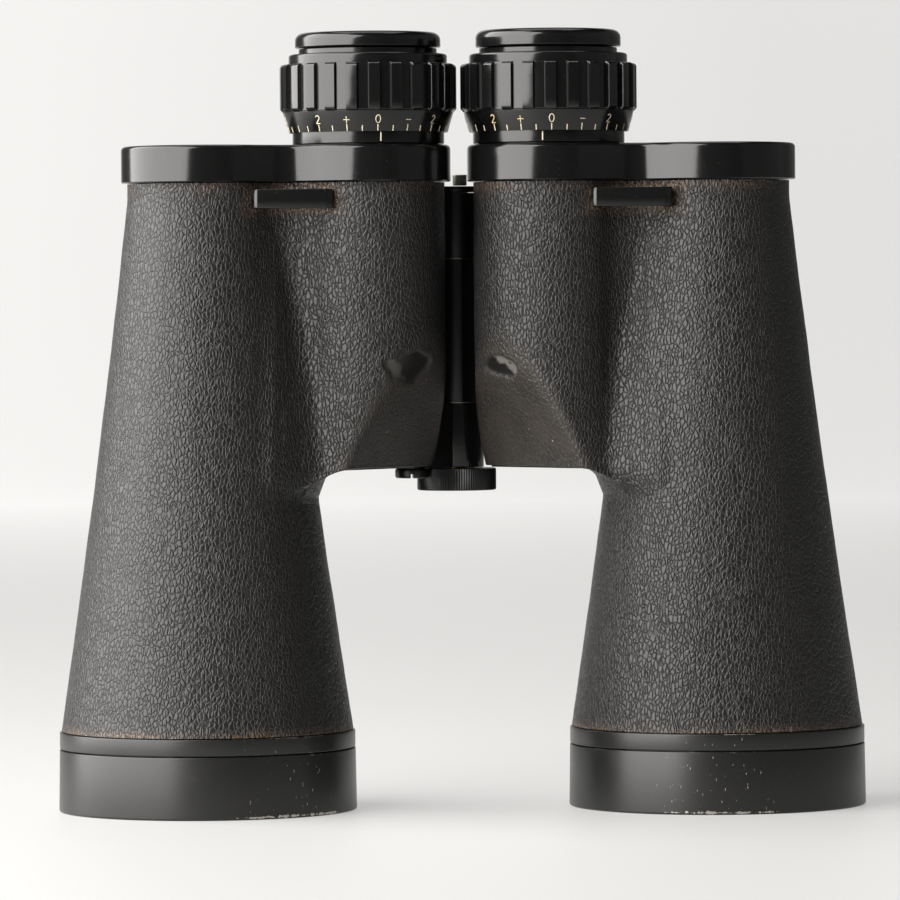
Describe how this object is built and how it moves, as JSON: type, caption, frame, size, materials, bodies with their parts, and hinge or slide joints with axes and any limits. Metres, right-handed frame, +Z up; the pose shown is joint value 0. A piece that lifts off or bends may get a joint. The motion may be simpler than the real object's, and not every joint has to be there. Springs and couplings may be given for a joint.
{
  "type": "porro prism binoculars",
  "caption": "Large individual-focus Porro binoculars: leather-covered tapered barrels on a central hinge, fluted focusing eyepieces with scales, wide objective hoods, knurled tripod cap.",
  "frame": {"origin": "centre of the bounding box's bottom, on the surface that the objective hoods stand on", "axes": "+X from the left barrel to the right one, +Z up along the optical axes from the objectives to the eyepieces, -Y the side that faces down in use"},
  "size_m": [0.2446, 0.0948, 0.2349],
  "materials": {
    "leatherette": "pebbled black leatherette",
    "black_enamel": "gloss black stoved enamel",
    "satin_black": "satin black enamel",
    "matt_black": "matt black anodised",
    "casting": "semi-gloss black painted casting",
    "engraved_black": "gloss black with cream-filled engraving",
    "bare_steel": "bare, dulled",
    "brass": "turned",
    "lens_glass": "coated",
    "prism_glass": "polished"
  },
  "bodies": {
    "left_barrel": {"left_body_casting": "casting", "left_leatherette": "leatherette", "left_prism_cover": "black_enamel", "left_objective_collar": "black_enamel", "left_objective_hood": "satin_black", "left_objective_cell": "matt_black", "left_objective_crown_lens": "lens_glass", "left_objective_flint_lens": "lens_glass", "left_objective_retaining_ring": "matt_black", "left_prism_shelf": "matt_black", "left_objective_prism": "prism_glass", "left_eyepiece_prism": "prism_glass", "left_objective_prism_clip": "bare_steel", "left_eyepiece_prism_clip": "bare_steel", "left_strap_bar": "satin_black", "left_prism_adjusting_screw": "bare_steel", "left_eyepiece_sleeve": "engraved_black", "hinge_axle": "bare_steel", "hinge_top_flange": "satin_black", "hinge_axle_button": "bare_steel", "tripod_socket": "brass", "hinge_lock_screw": "satin_black"},
    "right_barrel": {"right_body_casting": "casting", "right_leatherette": "leatherette", "right_prism_cover": "black_enamel", "right_objective_collar": "black_enamel", "right_objective_hood": "satin_black", "right_objective_cell": "matt_black", "right_objective_crown_lens": "lens_glass", "right_objective_flint_lens": "lens_glass", "right_objective_retaining_ring": "matt_black", "right_prism_shelf": "matt_black", "right_objective_prism": "prism_glass", "right_eyepiece_prism": "prism_glass", "right_objective_prism_clip": "bare_steel", "right_eyepiece_prism_clip": "bare_steel", "right_strap_bar": "satin_black", "right_prism_adjusting_screw": "bare_steel", "right_eyepiece_sleeve": "engraved_black"},
    "left_ocular": {"left_ocular_tube": "matt_black", "left_field_lens": "lens_glass", "left_eye_lens": "lens_glass"},
    "left_focus_ring": {"left_dioptre_scale_ring": "engraved_black", "left_grip_ring": "black_enamel", "left_eye_cap": "black_enamel", "left_grip_ring_screw_1": "bare_steel", "left_grip_ring_screw_2": "bare_steel", "left_grip_ring_screw_3": "bare_steel"},
    "right_ocular": {"right_ocular_tube": "matt_black", "right_field_lens": "lens_glass", "right_eye_lens": "lens_glass"},
    "right_focus_ring": {"right_dioptre_scale_ring": "engraved_black", "right_grip_ring": "black_enamel", "right_eye_cap": "black_enamel", "right_grip_ring_screw_1": "bare_steel", "right_grip_ring_screw_2": "bare_steel", "right_grip_ring_screw_3": "bare_steel"},
    "tripod_cap_screw": {"tripod_cap_stud": "brass"},
    "tripod_cap": {"tripod_cap_knob": "satin_black"}
  },
  "joints": [
    {"name": "interpupillary", "type": "hinge", "parent": "left_barrel", "child": "right_barrel", "pos_m": [0, 0.02255, 0.1448], "axis": [0, 0, 1], "range_deg": [0, 58]},
    {"name": "left_ocular_travel", "type": "slide", "parent": "left_barrel", "child": "left_ocular", "axis": [0, 0, 1], "range_m": [-0.0033, 0.0033]},
    {"name": "left_focus", "type": "hinge", "parent": "left_ocular", "child": "left_focus_ring", "pos_m": [-0.0273, -0.00245, 0.218], "axis": [0, 0, 1], "range_deg": [-110, 110]},
    {"name": "right_ocular_travel", "type": "slide", "parent": "right_barrel", "child": "right_ocular", "axis": [0, 0, 1], "range_m": [-0.0033, 0.0033]},
    {"name": "right_focus", "type": "hinge", "parent": "right_ocular", "child": "right_focus_ring", "pos_m": [0.0273, -0.00245, 0.218], "axis": [0, 0, 1], "range_deg": [-110, 110]},
    {"name": "tripod_cap_travel", "type": "slide", "parent": "left_barrel", "child": "tripod_cap_screw", "axis": [0, 0, -1], "range_m": [0, 0.00507]},
    {"name": "tripod_cap_turn", "type": "hinge", "parent": "tripod_cap_screw", "child": "tripod_cap", "pos_m": [0, 0.02255, 0.0987], "axis": [0, 0, -1], "range_deg": [0, 1440]}
  ],
  "couplings": [
    {"joint": "left_focus", "follows": "left_ocular_travel", "rad_per_m": 581.4},
    {"joint": "right_focus", "follows": "right_ocular_travel", "rad_per_m": 581.4},
    {"joint": "tripod_cap_turn", "follows": "tripod_cap_travel", "rad_per_m": 4947.4}
  ]
}
